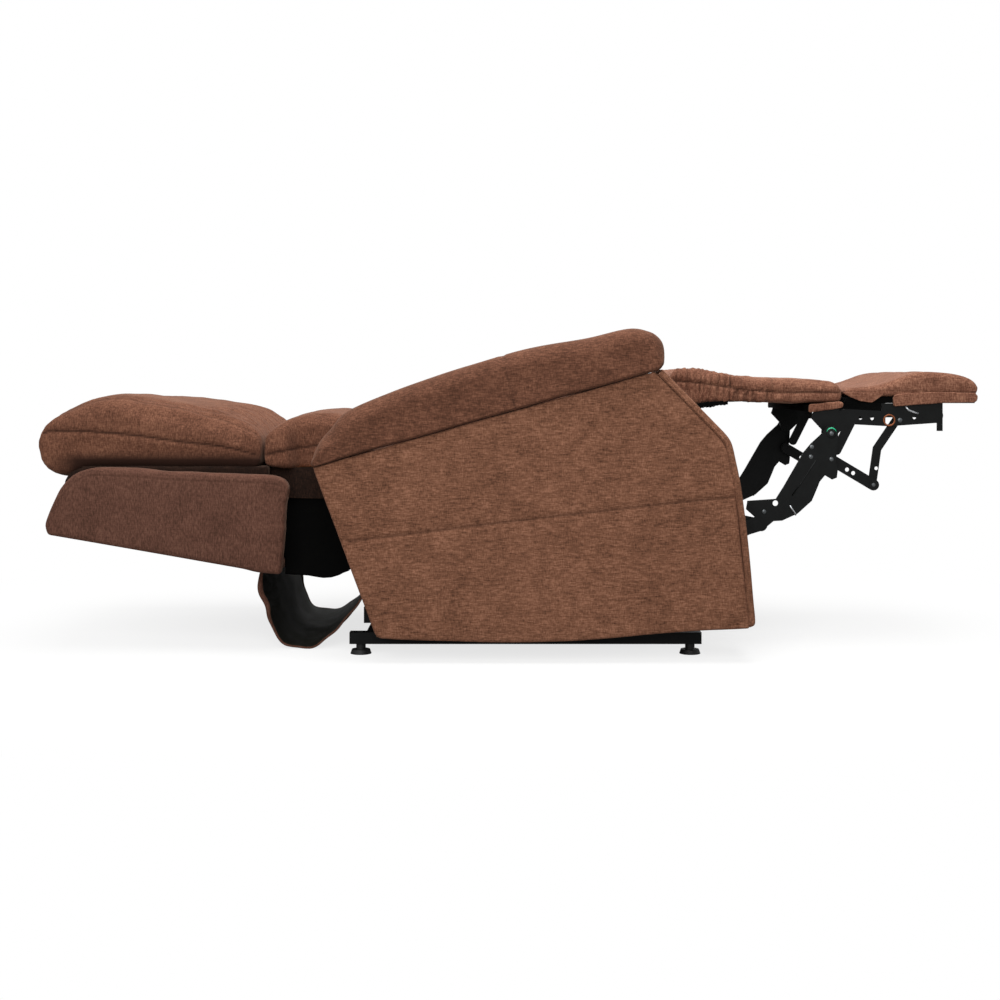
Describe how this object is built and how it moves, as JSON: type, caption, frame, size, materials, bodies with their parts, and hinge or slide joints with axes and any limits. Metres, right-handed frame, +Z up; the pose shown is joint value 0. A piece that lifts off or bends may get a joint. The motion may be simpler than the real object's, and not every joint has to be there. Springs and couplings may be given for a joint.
{
  "type": "lift recliner chair",
  "caption": "Upholstered powered chair that lies flat, raises a padded leg rest and tips forward on a steel lift base.",
  "frame": {"origin": "centre of the chair's footprint on the floor, in the lying-flat position", "axes": "+X towards the sitter's feet, +Y towards the sitter's left, +Z up"},
  "size_m": [1.988, 0.88, 0.6747],
  "materials": {
    "upholstery": "short brown chenille weave",
    "black_lining": "thin black dust cloth",
    "timber": "raw plywood",
    "black_plastic": "fine matt texture",
    "bright_steel": "zinc plated",
    "foot_rubber": "moulded",
    "black_steel": "black powder coat"
  },
  "bodies": {
    "base": {"base_rails": "black_steel", "base_cross_tubes": "black_steel", "front_feet": "foot_rubber", "rear_feet": "foot_rubber", "base_brackets": "black_steel", "base_pins": "bright_steel", "power_unit": "black_plastic"},
    "lift_arm_pair": {"lift_arms": "black_steel", "lift_cross_tube": "black_steel", "lift_pins": "bright_steel"},
    "stabilisers": {"stabiliser_links": "black_steel"},
    "lift_motor_body": {"lift_motor": "black_plastic"},
    "lift_motor_rod": {"lift_rod": "bright_steel"},
    "carriage": {"carriage_rails": "black_steel", "lift_hangers": "black_steel", "carriage_cross_tubes": "black_steel", "mechanism_plates": "black_steel", "seat_side_rails": "timber", "seat_cross_rails": "black_steel", "seat_springs": "bright_steel", "seat_cushion": "upholstery", "seat_front_roll": "upholstery", "arm_frame_left": "timber", "arm_frame_right": "timber", "arm_outer_left": "upholstery", "arm_outer_right": "upholstery", "arm_inner_left": "upholstery", "arm_inner_right": "upholstery", "arm_border_left": "upholstery", "arm_border_right": "upholstery", "arm_pad_left": "upholstery", "arm_pad_right": "upholstery"},
    "recline_motor_body": {"recline_motor": "black_plastic"},
    "recline_motor_rod": {"recline_rod": "bright_steel"},
    "legrest_motor_body": {"legrest_motor": "black_plastic"},
    "legrest_motor_rod": {"legrest_rod": "bright_steel"},
    "back": {"back_side_rails": "timber", "back_cross_rails": "timber", "back_springs": "bright_steel", "back_panel": "upholstery", "back_wing_left": "upholstery", "back_wing_right": "upholstery", "back_liners": "black_lining", "upper_back_cushion": "upholstery", "lumbar_cushion": "upholstery", "lower_back_roll": "upholstery", "recline_brackets": "black_steel", "recline_lever_bar": "black_steel", "rear_flap": "upholstery"},
    "front_crank_pair": {"front_cranks": "black_steel"},
    "rear_crank_pair": {"rear_cranks": "black_steel", "legrest_torque_tube": "black_steel"},
    "main_link_pair": {"main_links": "black_steel"},
    "legrest": {"legrest_brackets": "black_steel", "calf_board": "timber", "foot_board": "timber", "calf_pad": "upholstery", "foot_pad": "upholstery"},
    "drop_link_pair": {"drop_links": "black_steel"},
    "strut_link_pair": {"strut_links": "black_steel"}
  },
  "joints": [
    {"name": "lift", "type": "hinge", "parent": "base", "child": "lift_arm_pair", "pos_m": [0.247, 0, 0.089], "axis": [0, 1, 0], "range_deg": [0, 45.9]},
    {"name": "carriage_tilt", "type": "hinge", "parent": "lift_arm_pair", "child": "carriage", "pos_m": [-0.217, 0, 0.097], "axis": [0, 1, 0], "range_deg": [-19.51, 0]},
    {"name": "stabiliser_swing", "type": "hinge", "parent": "base", "child": "stabilisers", "pos_m": [0.321, 0, 0.097], "axis": [0, 1, 0], "range_deg": [0, 51.46]},
    {"name": "lift_motor_swing", "type": "hinge", "parent": "base", "child": "lift_motor_body", "pos_m": [-0.29, 0, 0.08], "axis": [0, 1, 0], "range_deg": [0, 1.9]},
    {"name": "lift_rod_slide", "type": "slide", "parent": "lift_motor_body", "child": "lift_motor_rod", "axis": [0.9577, 0, 0.2879], "range_m": [0, 0.11565]},
    {"name": "recline", "type": "hinge", "parent": "carriage", "child": "back", "pos_m": [-0.28, 0, 0.38], "axis": [0, 1, 0], "range_deg": [0, 68], "deforming": ["rear_flap"]},
    {"name": "recline_motor_swing", "type": "hinge", "parent": "carriage", "child": "recline_motor_body", "pos_m": [0.202, 0, 0.301], "axis": [0, 1, 0], "range_deg": [-5.29, 0]},
    {"name": "recline_rod_slide", "type": "slide", "parent": "recline_motor_body", "child": "recline_motor_rod", "axis": [-0.9966, 0, 0.0826], "range_m": [0, 0.08547]},
    {"name": "legrest_fold", "type": "hinge", "parent": "carriage", "child": "rear_crank_pair", "pos_m": [0.24, 0, 0.257], "axis": [0, 1, 0], "range_deg": [0, 127]},
    {"name": "front_crank_swing", "type": "hinge", "parent": "carriage", "child": "front_crank_pair", "pos_m": [0.376, 0, 0.294], "axis": [0, 1, 0], "range_deg": [0, 127.01]},
    {"name": "main_link_swing", "type": "hinge", "parent": "rear_crank_pair", "child": "main_link_pair", "pos_m": [0.394, 0, 0.225], "axis": [0, 1, 0], "range_deg": [-127.01, 0]},
    {"name": "legrest_turn", "type": "hinge", "parent": "main_link_pair", "child": "legrest", "pos_m": [0.6776, 0, 0.4592], "axis": [0, 1, 0], "range_deg": [0, 90.01]},
    {"name": "drop_link_swing", "type": "hinge", "parent": "main_link_pair", "child": "drop_link_pair", "pos_m": [0.6776, 0, 0.402], "axis": [0, 1, 0], "range_deg": [0, 137.69]},
    {"name": "strut_link_swing", "type": "hinge", "parent": "drop_link_pair", "child": "strut_link_pair", "pos_m": [0.771, 0, 0.3465], "axis": [0, 1, 0], "range_deg": [-41.51, 0]},
    {"name": "legrest_motor_swing", "type": "hinge", "parent": "carriage", "child": "legrest_motor_body", "pos_m": [-0.207, 0, 0.183], "axis": [0, 1, 0], "range_deg": [0, 1.46]},
    {"name": "legrest_rod_slide", "type": "slide", "parent": "legrest_motor_body", "child": "legrest_motor_rod", "axis": [0.9954, 0, 0.096], "range_m": [-0.14275, 0]}
  ],
  "couplings": [
    {"joint": "carriage_tilt", "follows": "lift", "ratio": -0.42484},
    {"joint": "stabiliser_swing", "follows": "lift", "ratio": 1.121},
    {"joint": "lift_motor_swing", "follows": "lift", "ratio": 0.041077},
    {"joint": "lift_rod_slide", "follows": "lift", "m_per_rad": 0.14435},
    {"joint": "recline_motor_swing", "follows": "recline", "ratio": -0.077626},
    {"joint": "recline_rod_slide", "follows": "recline", "m_per_rad": 0.072009},
    {"joint": "front_crank_swing", "follows": "legrest_fold", "ratio": 1},
    {"joint": "main_link_swing", "follows": "legrest_fold", "ratio": -1},
    {"joint": "legrest_turn", "follows": "legrest_fold", "ratio": 0.70866},
    {"joint": "drop_link_swing", "follows": "legrest_fold", "ratio": 1.0841},
    {"joint": "strut_link_swing", "follows": "legrest_fold", "ratio": -0.32677},
    {"joint": "legrest_motor_swing", "follows": "legrest_fold", "ratio": 0.011445},
    {"joint": "legrest_rod_slide", "follows": "legrest_fold", "m_per_rad": -0.064395}
  ]
}
